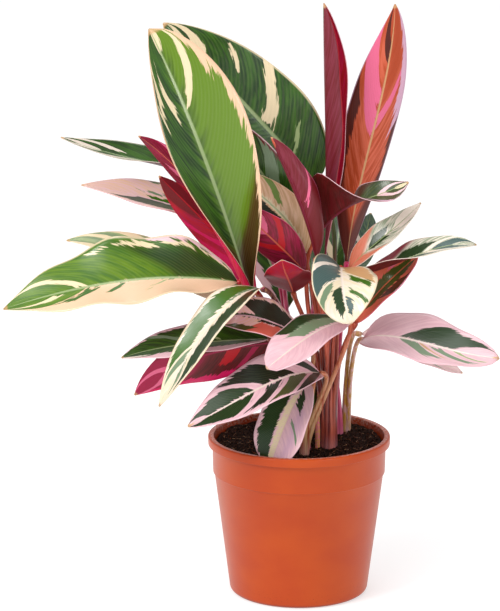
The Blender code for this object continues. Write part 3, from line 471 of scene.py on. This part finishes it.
looks = {
    "leaf_front_tall": dict(
        under=("crimson", "hotPink"), margin="peach", underWashes=[(0.3, 2, -1.3, 1.3, "burgundy")],
        washes=[(-1, 2, 0.02, 1.3, "olive"), (-1, 0.28, -1.3, 1.3, "brown")],
        patches=[(-0.1, 0.62, 0.9, 1.2, "peach"), (0.6, 0.72, 0.78, 1.2, "peach"),
            (0.74, 0.79, 0.1, 0.9, "cream"), (0.52, 0.62, -0.9, -0.76, "cream"),
            (0.66, 0.72, -0.62, -0.3, "cream"), (0.92, 1.2, -0.5, 0.3, "cream")]),
    "leaf_back_tall": dict(
        sweep=0.2, margin="cream",
        patches=[(0.365, 0.425, 0.06, 1.2, "cream"), (0.575, 0.6, 0.4, 0.9, "cream"),
            (0.76, 0.84, 0.2, 1.2, "cream"), (0.88, 0.93, 0, 1.2, "cream"), (0.2, 0.22, 0.1, 0.6, "pale")]),
    "leaf_rolled_spear": dict(
        upper=("crimson", "hotPink"), under=("mauve", "burgundy"), underMidrib="mauve",
        underMargin="crimson",
        underPatches=[(0.8, 1.2, 0.2, 1.2, "tan"), (0.86, 1.2, -1.2, 1.2, "darkOlive")]),
    "leaf_tall_right": dict(
        under=("rust", "salmon"), underMargin="lilac", underMidrib="tan",
        underWashes=[(0.6, 0.95, -0.7, -0.05, "rust"), (-1, 0.12, -1.2, 1.2, "wine")],
        underPatches=[(0.47, 0.66, 0.03, 1.2, "rose"), (-0.2, 0.42, 0.66, 1.2, "brown"),
            (-0.2, 0.3, -1.2, -0.82, "brown"), (0.3, 0.72, -1.2, -0.72, "lilac"),
            (0.76, 0.86, 0.05, 1.2, "brown"), (0.5, 0.56, -0.7, -0.03, "rose")]),
    "leaf_left_high": dict(
        margin="ivory", washes=[(-1, 0.36, -1.3, 0.05, "burgundy")],
        patches=[(0.45, 0.6, -0.9, -0.1, "ivory"), (0.6, 0.68, 0.3, 1.2, "ivory"),
            (0.78, 0.9, -1.2, 1.2, "ivory"), (0.2, 0.26, 0.2, 1.2, "greyGreen")]),
    "leaf_left_pink": dict(
        upper=("pink", "peach"), under=("rose", "raspberry"), midrib="pink",
        washes=[(-1, 0.28, -1.3, 1.3, "crimson")],
        patches=[(0.32, 0.68, -0.72, 0, "deepGreen"), (0.33, 0.6, 0, 0.18, "green"),
            (0.38, 0.58, 0.3, 0.42, "greyGreen"), (0.2, 0.35, 0.88, 1.2, "green")]),
    "leaf_left_behind": dict(
        upper=("greyGreen", "pale"), margin="cream", washes=[(-1, 0.5, -1.3, 0, "peach")],
        patches=[(0.4, 0.5, 0.1, 1.2, "cream"), (0.62, 0.72, 0.2, 1.2, "cream"),
            (-1, 0.9, -1.2, -0.3, "cream")]),
    "leaf_left_long": dict(
        upper=("green", "olive"), under=("raspberry", "burgundy"), margin="cream",
        washes=[(-0.5, 0.26, -0.02, 0.8, "deepGreen")],
        patches=[(-0.25, 0.4, 0.8, 0.88, "cream"), (-0.3, 0.1, 0.88, 1.2, "pink"),
            (0.655, 0.7, 0.03, 1.2, "cream"), (-1, 0.66, -1.2, -0.01, "peach"),
            (0.585, 0.645, -0.55, -0.08, "green"), (0.485, 0.505, -0.35, -0.08, "green"),
            (0.3, 0.315, -0.5, -0.1, "pale"), (0.74, 0.79, -1.2, -0.1, "cream")]),
    "leaf_left_tip": dict(
        under=("raspberry", "burgundy"), underMargin="raspberry",
        underPatches=[(0.5, 0.6, -1.2, 0.5, "rose"), (0.8, 1.2, 0, 1.2, "mauve")]),
    "leaf_left_crimson": dict(
        under=("crimson", "raspberry"), underMargin="crimson", underMidrib="crimson",
        underWashes=[(0.55, 1.3, -1.3, 1.3, "burgundy"), (-1, 0.2, -1.3, 1.3, "hotPink")],
        underPatches=[(0.3, 0.36, -1.2, 1.2, "hotPink")]),
    "leaf_hanging_left": dict(
        upper=("ivory", "cream"), margin="cream", midrib="ivory", under=("rose", "mauve"),
        patches=[(-0.2, 0.62, 0.2, 0.86, "green"), (0, 0.3, 0.08, 0.2, "greyGreen"),
            (0.66, 0.74, 0.1, 0.7, "greyGreen"), (-0.2, 0.66, -0.86, -0.18, "deepGreen"),
            (0.72, 0.8, -0.5, -0.05, "greyGreen")]),
    "leaf_low_left": dict(
        patches=[(-1, 0.62, -1.2, -0.5, "pink"), (0.66, 1.2, -1.2, -0.55, "ivory"),
            (-1, 1.2, 0.85, 1.2, "pink"), (0.5, 0.56, 0.1, 1.2, "greyGreen"),
            (0.3, 0.33, 0.1, 0.8, "pale")]),
    "leaf_low_magenta": dict(
        under=("burgundy", "wine"), underMargin="hotPink", underMidrib="raspberry",
        underWashes=[(0.5, 1.3, -1.3, 1.3, "raspberry")],
        underPatches=[(-1, 2, 0.78, 1.2, "hotPink"), (0.25, 0.36, -0.6, 0.5, "crimson"),
            (0.7, 0.78, -1.2, 1.2, "rose"), (0.1, 0.16, 0.1, 0.8, "raspberry")]),
    "leaf_mid_left": dict(
        upper=("pink", "peach"), midrib="pink",
        patches=[(-0.2, 0.5, 0, 0.85, "nightGreen"), (0.1, 0.45, -0.2, 0, "nightGreen"),
            (0.45, 0.8, -0.05, 0.15, "deepGreen"), (0.1, 0.42, -1.2, -0.2, "coral"),
            (0.35, 0.6, -1.2, -0.6, "darkOlive")]),
    "leaf_front_oval": dict(
        upper=("pink", "blush"), under=("rose", "mauve"), midrib="ivory",
        patches=[(-0.3, 0.42, 0.5, 1.2, "deepGreen"), (-0.1, 0.5, 0.1, 0.6, "greyGreen")]),
    "leaf_front_low": dict(
        upper=("pink", "blush"), midrib="ivory",
        patches=[(0.2, 0.46, 0.05, 0.9, "nightGreen"), (0.52, 0.84, 0.03, 0.75, "deepGreen"),
            (-0.1, 0.06, -1.2, 1.2, "nightGreen"), (0.1, 0.26, -0.9, -0.04, "darkOlive"),
            (0.32, 0.44, -0.8, -0.05, "nightGreen"), (0.52, 0.88, -0.8, -0.03, "deepGreen"),
            (0.94, 1.2, -1.2, 1.2, "straw")]),
    "leaf_front_drop": dict(
        upper=("pink", "blush"), midrib="cream",
        patches=[(0.05, 0.85, 0.25, 0.86, "deepGreen"), (0.2, 0.9, 0.03, 0.22, "cream"),
            (0.1, 0.3, -0.5, -0.1, "deepGreen"), (0.44, 0.48, -0.8, -0.2, "greyGreen")],
        washes=[(0.2, 0.8, -0.7, -0.3, "lilac")]),
    "leaf_centre_face": dict(
        upper=("cream", "ivory"), margin="cream", midrib="ivory", under=("rose", "mauve"),
        patches=[(-0.2, 0.38, 0.05, 1.2, "blueGreen"), (0.42, 0.5, 0.3, 1.2, "greyGreen"),
            (0.5, 0.8, 0.04, 0.4, "deepGreen"), (0.62, 0.84, -0.3, -0.04, "blueGreen"),
            (-0.3, 0.25, -0.9, -0.1, "tan"), (0.27, 0.36, -0.8, -0.25, "green"),
            (0.5, 0.56, -0.9, -0.2, "green"), (0.1, 0.16, 0.2, 1.2, "ivory")]),
    "leaf_centre_crimson": dict(
        under=("crimson", "raspberry"), underMargin="crimson",
        underWashes=[(-1, 0.4, -1.3, 1.3, "burgundy")]),
    "leaf_rolled_centre": dict(
        upper=("crimson", "hotPink"), under=("mauve", "burgundy"), underMargin="rose", underMidrib="mauve",
        underWashes=[(-1, 0.3, -1.3, 0.2, "burgundy")],
        underPatches=[(0.34, 0.38, -1.2, -0.3, "rose"), (0.0, 0.4, 0.6, 1.2, "hotPink"),
            (0.9, 1.2, -1.2, 1.2, "salmon")]),
    "leaf_mid_cream": dict(
        upper=("tan", "peach"), margin="peach",
        patches=[(-1, 2, -0.1, 0.12, "cream"), (-1, 2, -1.2, -0.15, "nightGreen"),
            (0.4, 0.5, 0.3, 1.2, "olive")]),
    "leaf_mid_pink": dict(
        under=("raspberry", "burgundy"), underMargin="rose",
        underPatches=[(0.3, 0.4, -1.2, 1.2, "crimson"), (0.56, 0.7, -1, 0.6, "rose")]),
    "leaf_arching": dict(
        upper=("darkOlive", "deepGreen"), under=("burgundy", "wine"), underMargin="burgundy",
        underMidrib="mauve", washes=[(-1, 0.45, -1.3, 1.3, "wine")],
        patches=[(0.72, 0.8, -1.2, 1.2, "pink"), (0.88, 1.2, -1.2, 1.2, "cream"),
            (0.5, 0.56, 0.4, 1.2, "lilac")]),
    "leaf_right_narrow": dict(
        upper=("greyGreen", "ivory"), margin="ivory", washes=[(-1, 0.2, -1.3, 1.3, "salmon")],
        patches=[(0.28, 0.5, -0.5, 0.3, "deepGreen"), (0.6, 1.2, -1.2, 1.2, "ivory")]),
    "leaf_right_white": dict(
        upper=("greyGreen", "ivory"), margin="ivory", washes=[(-1, 0.22, -1.3, 1.3, "raspberry")],
        patches=[(0.26, 0.56, -0.6, -0.04, "deepGreen"), (0.32, 0.52, 0.1, 0.7, "blueGreen"),
            (0.64, 0.8, -0.8, 0.6, "blueGreen"), (0.56, 0.62, -1.2, 1.2, "ivory")]),
    "leaf_right_olive": dict(
        upper=("coral", "salmon"), margin="rose", midrib="salmon",
        patches=[(0.12, 0.85, -0.42, 0.42, "darkOlive"), (0.45, 0.7, -1.2, -0.5, "rose"),
            (0.2, 0.5, 0.42, 1.2, "brown")]),
    "leaf_right_pink": dict(
        sweep=0.4, upper=("pink", "blush"), under=("rose", "lilac"), midrib="ivory",
        patches=[(0.31, 0.7, -0.82, -0.03, "deepGreen"), (0.33, 0.46, 0.04, 0.6, "greyGreen"),
            (0.54, 0.62, 0.1, 0.75, "greyGreen"), (0.7, 0.75, 0.05, 0.6, "pale"),
            (0.48, 0.5, 0.1, 0.8, "tan"), (0.95, 1.2, -1.2, 1.2, "straw")]),
    "leaf_right_under": dict(
        upper=("pink", "ivory"), under=("rose", "mauve"), midrib="pink",
        patches=[(0.25, 0.45, -0.9, 0.5, "green"), (0.6, 0.66, -0.8, 0.8, "greyGreen")]),
    "leaf_right_blue": dict(
        upper=("blueGreen", "greyGreen"), margin="greyGreen", patches=[(0.4, 0.5, -1, 0, "ivory")]),
    "leaf_mid_green": dict(
        patches=[(0.35, 0.5, 0.1, 1.2, "greyGreen"), (-1, 2, 0.86, 1.2, "burgundy"),
            (0.66, 0.7, -1.2, 0, "cream")]),
    "leaf_rear_right": dict(
        patches=[(0.25, 0.34, -1.2, 0, "cream"), (0.5, 0.6, 0, 1.2, "pink"),
            (0.75, 0.8, -1.2, 0.4, "cream")]),
    "leaf_rear_left": dict(
        patches=[(0.4, 0.47, 0.05, 1.2, "cream"), (-1, 0.4, -1.2, -0.5, "pink"),
            (0.62, 0.72, -1.2, 0, "ivory")]),
    "leaf_rear_middle": dict(
        patches=[(0.12, 0.2, -1.2, 0, "pink"), (0.44, 0.56, -1.2, -0.1, "cream"),
            (0.6, 0.66, 0.1, 1.2, "cream"), (0.85, 0.9, -1.2, 1.2, "pink")]),
}


slotOf = {part["node"]: part["material_slot"] for part in frame["record"]["subparts"]}


def addLeaves():
    for number, (name, leaf) in enumerate(leaves.items()):
        look = {**plainLook, "seed": number + 1.0, **looks[name]}
        blade = makeBlade(name.replace("leaf_", "blade_"), leaf, leafShader(name + "_upper", look, "upper"),
                          leafShader(name + "_under", look, "under"))
        joined(blade, slotOf[name], name)
    print("leaves", len(leaves))


# Tubes: a curve with round cross-sections of this size (mm), and along it a route of places in metres,
# each with its radius as a multiple of the size
def tubeCurve(name, size, roundness):
    curve = bpy.data.curves.new(name, "CURVE")
    curve.dimensions = "3D"
    curve.bevel_depth = size * mm
    curve.bevel_resolution = roundness
    curve.use_fill_caps = True
    return curve


def addRoute(curve, route):
    spline = curve.splines.new("POLY")
    spline.points.add(len(route) - 1)
    for point, (place, radius) in zip(spline.points, route):
        point.co = (*place, 1.0)
        point.radius = radius


def finishTube(name, curve, material):  # the curve becomes one closed mesh
    guide = bpy.data.objects.new(name + "_guide", curve)
    bpy.context.scene.collection.objects.link(guide)
    bpy.context.view_layer.update()
    mesh = bpy.data.meshes.new_from_object(guide.evaluated_get(bpy.context.evaluated_depsgraph_get()))
    bpy.data.objects.remove(guide, do_unlink=True)
    bm = bmesh.new()
    bm.from_mesh(mesh)
    bpy.data.meshes.remove(mesh)
    bmesh.ops.remove_doubles(bm, verts=bm.verts, dist=0.02 * mm)
    for face in bm.faces:
        face.material_index = 0
    return placed(name, bm, material)


soilLevel = 134.0  # the compost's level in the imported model

# Stalks: each shoot's sheathed foot and the stalks that rise from it
stalkMake = dict(radius=2.1, footRadius=3.4, gap=0.2, jointLength=5.0, jointSwell=1.3, swellEnd=12, knee=0.6,
                 points=26, thinning=2.2, inset=1.0, buried=12, upright=6, bend=0.22, size=1.0, roundness=3)


def bezier(p0, p1, p2, p3, t):
    s = 1 - t
    return s**3 * p0 + 3 * s * s * t * p1 + 3 * s * t * t * p2 + t**3 * p3


def stalkRoute(shoot, leaf, index, count):
    m = stalkMake
    x, y, footRadius, top = shoot
    turn = math.tau * index / count
    inset = footRadius - m["radius"] - m["inset"]
    start = Vector((x + inset * math.cos(turn), y + inset * math.sin(turn), soilLevel - m["buried"]))
    forward = ribDirection(leaf["rib"], 0.0)
    end = Vector(leaf["rib"][0]) - forward * m["gap"]
    joint = end - forward * m["jointLength"]
    foot = Vector((start.x, start.y, soilLevel + m["upright"]))
    low = Vector((start.x, start.y, top))
    high = joint - forward * leaf.get("bend", m["bend"]) * (joint - foot).length
    route = [(start, m["footRadius"])]
    for i in range(m["points"]):
        t = i / (m["points"] - 1)
        thin = min(1.0, t * m["thinning"])
        radius = m["footRadius"] * (1 - thin) + m["radius"] * thin
        swell = max(0.0, 1 - (1 - t) * m["swellEnd"]) * (m["jointSwell"] - 1) + 1
        route.append((bezier(foot, low, high, joint, t), radius * swell))
    route.append((joint.lerp(end, m["knee"]), m["radius"] * m["jointSwell"]))
    route.append((end, m["radius"]))
    return [(place * mm, radius) for place, radius in route]


stalkSurface = dict(
    coat=0.15, coatRoughness=0.3, streak=(1.1, 1.1, 0.02), band=(0.3, 0.3, 0.012), streakShare=0.4,
    rise=(150, 300), second=(0.6, 0.85), secondShare=0.8, foot=(138, 156), footShare=0.3,
    rough=(0.2, 0.3), bumpStrength=0.35, bumpHigh=0.0006,
)


def stalkShader(name, low, high, second):
    s = stalkSurface
    shader = Shader(name, Coat_Weight=s["coat"], Coat_Roughness=s["coatRoughness"])
    place = shader.place()
    z = place[2]
    streak = shader.spread(place, s["streak"], 3.0, 0.55)
    band = shader.spread(place, s["band"], 2.0, 0.5)
    colour = shader.mix(z.stepped(*s["rise"]), palette[low], palette[high])
    secondPart = (band + streak * s["streakShare"]).stepped(*s["second"])
    colour = shader.mix(secondPart * s["secondShare"], colour, palette[second])
    colour = shader.mix((1 - z.stepped(*s["foot"])) * s["footShare"], colour, palette["blush"])
    shader.send(Base_Color=colour, Roughness=streak * s["rough"][0] + s["rough"][1])
    shader.bump(streak, s["bumpStrength"], s["bumpHigh"])
    return shader.material


def plainShader(name, first, second):  # two tones in a fine grain that is longer upwards
    shader = Shader(name)
    x, y, z = shader.place()
    grain = shader.noise(shader.vector(x, y, z * 0.4), 1.2, 3.0, 0.6)
    colour = shader.mix(grain.stepped(0.4, 0.62), palette[first], palette[second])
    shader.send(Base_Color=colour, Roughness=grain * 0.2 + 0.45)
    return shader.material


# The colours of each shoot: low down, high up, and in streaks
shootTones = {
    "shoot_left": ("rust", "crimson", "tan"), "shoot_left_back": ("burgundy", "raspberry", "rose"),
    "shoot_middle": ("salmon", "burgundy", "tan"), "shoot_front": ("tan", "salmon", "rust"),
    "shoot_main": ("burgundy", "rust", "salmon"), "shoot_right": ("raspberry", "hotPink", "rose"),
    "shoot_slim": ("straw", "tan", "pink"), "shoot_back": ("burgundy", "mauve", "green"),
}


def addShoots():
    for name, shoot in shoots.items():
        stalks = [leaf for leaf in leaves.values() if leaf["shoot"] == name]
        newName = name.replace("shoot", "stalks")
        curve = tubeCurve(newName, stalkMake["size"], stalkMake["roundness"])
        for i, leaf in enumerate(stalks):
            addRoute(curve, stalkRoute(shoot, leaf, i, len(stalks)))
        joined(finishTube(newName, curve, stalkShader(name, *shootTones[name])), "stalk", name)
    print("shoots", len(shoots))


sproutTones = {
    "sprout_tall": ("straw", "rose"), "sprout_purple": ("mauve", "rose"), "sprout_stub": ("salmon", "tan"),
}
sproutMake = dict(points=24, fat=0.4, narrowing=1.3, buried=12.0)


def addSprouts():
    m = sproutMake
    for name, (x, y, radius, height, tip) in sprouts.items():
        newName = name.replace("sprout_", "sproutBud_")
        route = []
        for i in range(m["points"]):
            t = i / (m["points"] - 1)
            up = soilLevel - m["buried"] + (height + m["buried"]) * t
            share = min(1.0, max(0.0, (t - m["fat"]) / (1 - m["fat"])))
            route.append(((x * mm, y * mm, up * mm), radius + (tip - radius) * share ** m["narrowing"]))
        curve = tubeCurve(name, stalkMake["size"], stalkMake["roundness"])
        addRoute(curve, route)
        joined(finishTube(newName, curve, plainShader(name, *sproutTones[name])), "stalk", name)
    print("sprouts", len(sprouts))


# Turned pieces: a line of (x, z) points spun round the pot's axis
turned = dict(merge=1e-6, speck=1e-7, crease=38)


def spun(name, outline, steps, material):
    bm = bmesh.new()
    verts = [bm.verts.new((x * mm, 0, z * mm)) for x, z in outline]
    edges = [bm.edges.new(pair) for pair in zip(verts, verts[1:])]
    bmesh.ops.spin(bm, geom=verts + edges, axis=(0, 0, 1), cent=(0, 0, 0), angle=math.tau, steps=steps,
                   use_merge=True)
    bmesh.ops.remove_doubles(bm, verts=bm.verts, dist=turned["merge"])
    bmesh.ops.dissolve_degenerate(bm, edges=bm.edges, dist=turned["speck"])
    bmesh.ops.recalc_face_normals(bm, faces=bm.faces)
    for edge in bm.edges:
        if len(edge.link_faces) == 2 and edge.calc_face_angle() > math.radians(turned["crease"]):
            edge.smooth = False
    return placed(name, bm, material)


potMake = dict(
    height=150.0, rim=85.0, mouth=79.5, lipDrop=8.5, collar=81.0, collarDrop=35.0, stepIn=0.8, foot=64.5,
    footFlare=0.4, footRound=5.0, wall=1.6, floor=2.2, recess=1.2, recessFrom=28.0, recessTo=50.0,
    innerRound=4.4, innerHigh=8.0, mouthRound=1.0, rimRound=1.6, lipRound=0.9, collarRound=0.8, steps=144,
    drainRadius=4.5, drainRing=38.0, drains=6, drainTurn=26.0, drillSides=32, drillDepth=20,
)


def arc(cx, cz, radius, start, end, count):
    turns = [math.radians(start + (end - start) * i / (count - 1)) for i in range(count)]
    return [(cx + radius * math.cos(a), cz + radius * math.sin(a)) for a in turns]


def potOutline():  # from the middle of the floor inside, over the rim, to the middle of the underside
    p = potMake
    lip, step = p["height"] - p["lipDrop"], p["height"] - p["collarDrop"]
    shoulder = p["collar"] - p["stepIn"] - 1.2
    inner, inside = p["foot"] - p["wall"], p["recess"] + p["floor"]
    line = [(0, inside), (inner - 3, inside)]
    line += arc(inner - 4, p["innerHigh"], p["innerRound"], -80, 0, 5)
    line += [(shoulder - p["wall"], step - 1), (p["mouth"] - 0.6, step + 2)]
    line += arc(p["mouth"] + 1.0, p["height"] - 1.0, p["mouthRound"], 180, 90, 5)
    line += arc(p["rim"] - 1.6, p["height"] - 1.6, p["rimRound"], 90, 0, 6)
    line += arc(p["rim"] - 1.0, lip + 1.0, p["lipRound"], 0, -90, 4)
    line += [(p["collar"] + 0.3, lip + 0.1), (p["collar"], lip - 0.5)]
    line += arc(p["collar"] - 1.4, step + 1.0, p["collarRound"], 0, -90, 4)
    line += [(shoulder, step - 0.6)]
    line += arc(p["foot"] + p["footFlare"] - p["footRound"], p["footRound"], p["footRound"], 0, -90, 7)
    line += [(p["recessTo"], 0.0), (p["recessTo"] - 1, p["recess"]), (p["recessFrom"] + 1, p["recess"])]
    line += [(p["recessFrom"], 0.0), (0, 0)]
    return line


potSurface = dict(
    specular=0.3, cloud=(0.02, 0.02, 0.03), grain=(2.2, 2.2, 2.2), tones=(0.3, 0.7),
    dust=(0.45, 0.45, 0.5), dusty=(0.44, 0.6), dustHigh=(141, 149), dustInside=(82.5, 84.5), dustShare=0.7,
    speck=(0.8, 0.8, 0.8), specked=(0.66, 0.7), speckLow=(6, 30), speckBand=(112, 116, 118, 126),
    speckShare=0.6, darkerFoot=(0.5, 4), footShare=0.5, rough=(0.1, 0.3), grainBump=0.4, bumpStrength=0.08,
    bumpHigh=0.0006,
)


def potShader():
    s = potSurface
    shader = Shader("potPlastic", Specular_IOR_Level=s["specular"])
    place = shader.place()
    x, y, z = place
    cloud = shader.spread(place, s["cloud"], 3.0, 0.5)
    grain = shader.spread(place, s["grain"], 2.0, 0.6)
    colour = shader.mix(cloud.stepped(*s["tones"]), palette["potOrange"], palette["potBright"])
    dust = shader.spread(place, s["dust"], 4.0, 0.7).stepped(*s["dusty"])
    around = (x * x + y * y) ** 0.5
    lipDust = dust * z.stepped(*s["dustHigh"]) * (1 - around.stepped(*s["dustInside"]))
    colour = shader.mix(lipDust * s["dustShare"], colour, palette["potDust"])
    specks = shader.spread(place, s["speck"], 2.0, 0.7).stepped(*s["specked"])
    band = z.stepped(*s["speckBand"][:2]) * (1 - z.stepped(*s["speckBand"][2:]))
    where = (1 - z.stepped(*s["speckLow"])).greater(band * 0.5)
    colour = shader.mix(specks * where * s["speckShare"], colour, palette["potSpeck"])
    # the pot turns darker and browner towards the bottom of its foot
    colour = shader.mix((1 - z.stepped(*s["darkerFoot"])) * s["footShare"], colour, palette["potFootDark"])
    shader.send(Base_Color=colour, Roughness=grain * s["rough"][0] + s["rough"][1])
    shader.bump(grain * s["grainBump"] + cloud, s["bumpStrength"], s["bumpHigh"])
    return shader.material


def boredMesh(pot):  # the pot's mesh after its drain holes are cut
    p = potMake
    drills = []
    for i in range(p["drains"]):
        turn = math.radians(p["drainTurn"]) + math.tau * i / p["drains"]
        bm = bmesh.new()
        bmesh.ops.create_cone(bm, cap_ends=True, segments=p["drillSides"], radius1=p["drainRadius"] * mm,
                              radius2=p["drainRadius"] * mm, depth=p["drillDepth"] * mm)
        middle = Vector((p["drainRing"] * math.cos(turn), p["drainRing"] * math.sin(turn), 0))
        bmesh.ops.translate(bm, verts=bm.verts, vec=middle * mm)
        drill = placed(f"drill_{i}", bm, smooth=False)
        drills.append(drill)
        cut = pot.modifiers.new(drill.name, "BOOLEAN")
        cut.operation = "DIFFERENCE"
        cut.object = drill
    bpy.context.view_layer.update()
    mesh = bpy.data.meshes.new_from_object(pot.evaluated_get(bpy.context.evaluated_depsgraph_get()))
    pot.modifiers.clear()
    for drill in drills:
        bpy.data.objects.remove(drill, do_unlink=True)
    return mesh


def addPot():
    pot = spun("potShell", potOutline(), potMake["steps"], potShader())
    pot.data = boredMesh(pot)
    joined(pot, "pot_plastic", "pot")
    print("pot")


# The compost: a heap that rises towards the back, with (height, width, seed) of its lumps and its grit
soilMake = dict(edge=77.9, heap=5.5, backHeap=4.5, backFrom=-20, backOver=60, rings=44, steps=120,
                sides=[(76.6, 114.0), (62.1, 10.0), (58.9, 3.8), (0, 3.8)], footRoom=2.5, wallRoom=3.5,
                lump=2.2, lumps=[(1.0, 17.0, 3.0), (0.6, 8.0, 9.0)], grit=[(1.4, 2.6, 0), (0.7, 1.2, 5)])


def uneven(x, y, layers):
    return sum(high * noise.noise(Vector((x, y, seed)) / wide) for high, wide, seed in layers)


def soilHeight(x, y):
    behind = min(1.0, max(0.0, (y - soilMake["backFrom"]) / soilMake["backOver"]))
    heap = soilLevel + soilMake["heap"] + soilMake["backHeap"] * behind
    return heap + soilMake["lump"] * uneven(x, y, soilMake["lumps"])


soilSurface = dict(roughness=0.95, specular=0.2, grain=0.9, bits=0.45, tones=(0.4, 0.7), bitted=(0.64, 0.7),
                   bumpStrength=1.0, bumpHigh=0.0016)


def soilShader():
    s = soilSurface
    shader = Shader("compost", Roughness=s["roughness"], Specular_IOR_Level=s["specular"])
    place = shader.vector(*shader.place())
    grain = shader.noise(place, s["grain"], 5.0, 0.7)
    bits = shader.noise(place, s["bits"], 2.0, 0.5)
    colour = shader.mix(grain.stepped(*s["tones"]), palette["peat"], palette["dryPeat"])
    colour = shader.mix(bits.stepped(*s["bitted"]), colour, palette["bark"])
    shader.send(Base_Color=colour)
    shader.bump(grain, s["bumpStrength"], s["bumpHigh"])
    return shader.material


goldenTurn = 2.39996


def openSoil(x, y):  # clear of every shoot's foot
    feet = (shoots | sprouts).values()
    return all(math.hypot(x - foot[0], y - foot[1]) > foot[2] + soilMake["footRoom"] for foot in feet)


def soilSpots(count, turn):  # places spread over the compost's top, each a golden angle from the last
    spots = []
    for i in range(count):
        far = (soilMake["edge"] - soilMake["wallRoom"]) * math.sqrt((i + 0.5) / count)
        angle = turn + i * goldenTurn
        x, y = far * math.cos(angle), far * math.sin(angle)
        if openSoil(x, y):
            spots.append((x, y, i))
    return spots


crumbMake = dict(count=1300, turn=0.0, small=0.8, larger=1.6, big=1.0, bigEvery=7, sizeStep=0.37, lift=0.35,
                 rough=0.5, roughScale=700)


def addCrumbs(material):
    m = crumbMake
    bm = bmesh.new()
    for x, y, i in soilSpots(m["count"], m["turn"]):
        larger = m["larger"] * abs(noise.noise(Vector((i * m["sizeStep"], 1.0, 0))))
        size = m["small"] + larger + m["big"] * (i % m["bigEvery"] == 0)
        made = bmesh.ops.create_icosphere(bm, subdivisions=1, radius=size * mm)
        middle = Vector((x, y, soilHeight(x, y) + m["lift"] * size)) * mm
        for vert in made["verts"]:
            rough = 1 + m["rough"] * noise.noise(vert.co * m["roughScale"] + Vector((i, 0, 0)))
            vert.co = vert.co * rough + middle
    joined(placed("compostCrumbs", bm, material), "compost")


fibreMake = dict(count=130, turn=1.0, radius=0.22, roundness=1, points=5, twist=2.1, short=5, longer=12,
                 lengthStep=0.7, bend=1.4, bendStep=1.3, lift=1.5, waver=0.5, thinning=0.15, wallRoom=1.5)


def addFibres(material):
    m = fibreMake
    curve = tubeCurve("fibres", m["radius"], m["roundness"])
    for x, y, i in soilSpots(m["count"], m["turn"]):
        angle = i * m["twist"]
        length = m["short"] + m["longer"] * abs(noise.noise(Vector((i * m["lengthStep"], 3.0, 0))))
        route = []
        for k in range(m["points"]):
            along = (k / (m["points"] - 1) - 0.5) * length
            bend = m["bend"] * math.sin(k * m["bendStep"] + i)
            px = x + along * math.cos(angle) - bend * math.sin(angle)
            py = y + along * math.sin(angle) + bend * math.cos(angle)
            if math.hypot(px, py) > soilMake["edge"] - m["wallRoom"]:
                px, py = x, y
            high = soilHeight(px, py) + m["lift"] + m["waver"] * math.sin(k + i)
            route.append(((px * mm, py * mm, high * mm), 1.0 - m["thinning"] * k))
        addRoute(curve, route)
    joined(finishTube("compostFibres", curve, material), "compost")


def addSoil():
    material = soilShader()
    edge, rings = soilMake["edge"], soilMake["rings"]
    top = soilLevel + soilMake["heap"]
    outline = [(edge * i / rings, top) for i in range(rings + 1)] + soilMake["sides"]
    soil = spun("compostFill", outline, soilMake["steps"], material)
    for vert in soil.data.vertices:
        x, y, z = vert.co / mm
        if z > soilLevel - 1:
            vert.co.z = (soilHeight(x, y) + uneven(x, y, soilMake["grit"])) * mm
    joined(soil, "compost", "soil")
    addCrumbs(material)
    addFibres(plainShader("fibre", "brown", "tan"))
    print("compost")


studio = dict(world=0.62, floorSize=14, floorColour=0.5, floorRoughness=0.9, floorGlow=0.56,
              floorHeight=-0.0002, aim=(0, 0, 0.25))
# Each soft light: its name, place, size and power
studioLights = [
    ("keyLight", (-1.5, -1.3, 1.8), 0.9, 34),
    ("sideLight", (1.5, -1.95, 0.85), 0.7, 13),
    ("topLight", (0.1, 0.6, 2.2), 1.0, 12),
]
skyLight = dict(place=(-1.0, -1.4, 2.4), energy=0.9, angle=40)
white = (1, 1, 1, 1)


def aimed(name, light, spot):
    lamp = bpy.data.objects.new(name, light)
    lamp.location = spot
    lamp.rotation_euler = (Vector(studio["aim"]) - Vector(spot)).to_track_quat("-Z", "Y").to_euler()
    bpy.context.scene.collection.objects.link(lamp)


def addStudio():
    paper = Shader("paper", Roughness=studio["floorRoughness"], Emission_Strength=studio["floorGlow"],
                   Base_Color=(*[studio["floorColour"]] * 3, 1), Emission_Color=white)
    bm = bmesh.new()
    bmesh.ops.create_grid(bm, x_segments=1, y_segments=1, size=studio["floorSize"])
    floor = placed("floor", bm, paper.material, smooth=False)
    floor.location.z = studio["floorHeight"]
    world = bpy.data.worlds.new("studio")
    bpy.context.scene.world = world
    world.use_nodes = True
    back = world.node_tree.nodes["Background"]
    back.inputs["Color"].default_value = white
    back.inputs["Strength"].default_value = studio["world"]
    for name, spot, size, power in studioLights:
        light = bpy.data.lights.new(name, "AREA")
        light.size = size
        light.energy = power
        aimed(name, light, spot)
    sky = bpy.data.lights.new("skyLight", "SUN")
    sky.energy = skyLight["energy"]
    sky.angle = math.radians(skyLight["angle"])
    aimed("skyLight", sky, skyLight["place"])
    print("studio")


# The camera stands where the photograph's did; focal is in pixels of a picture 611 high
cameraSet = dict(place=(-0.0458, -3.0, 1.005), down=13.70, focal=3339.0, high=611, sensor=36.0)


def addCamera():
    camera = bpy.data.cameras.new("camera")
    camera.sensor_width = cameraSet["sensor"]
    camera.lens = cameraSet["focal"] * cameraSet["sensor"] / cameraSet["high"]
    viewer = bpy.data.objects.new("camera", camera)
    viewer.location = cameraSet["place"]
    viewer.rotation_euler = (math.radians(90 - cameraSet["down"]), 0, 0)
    bpy.context.scene.collection.objects.link(viewer)
    bpy.context.scene.camera = viewer
    print("camera")


addCamera()
addStudio()
addPot()
addSoil()
addShoots()
addSprouts()
addLeaves()
bpy.context.scene.view_settings.view_transform = "Standard"
print("done")
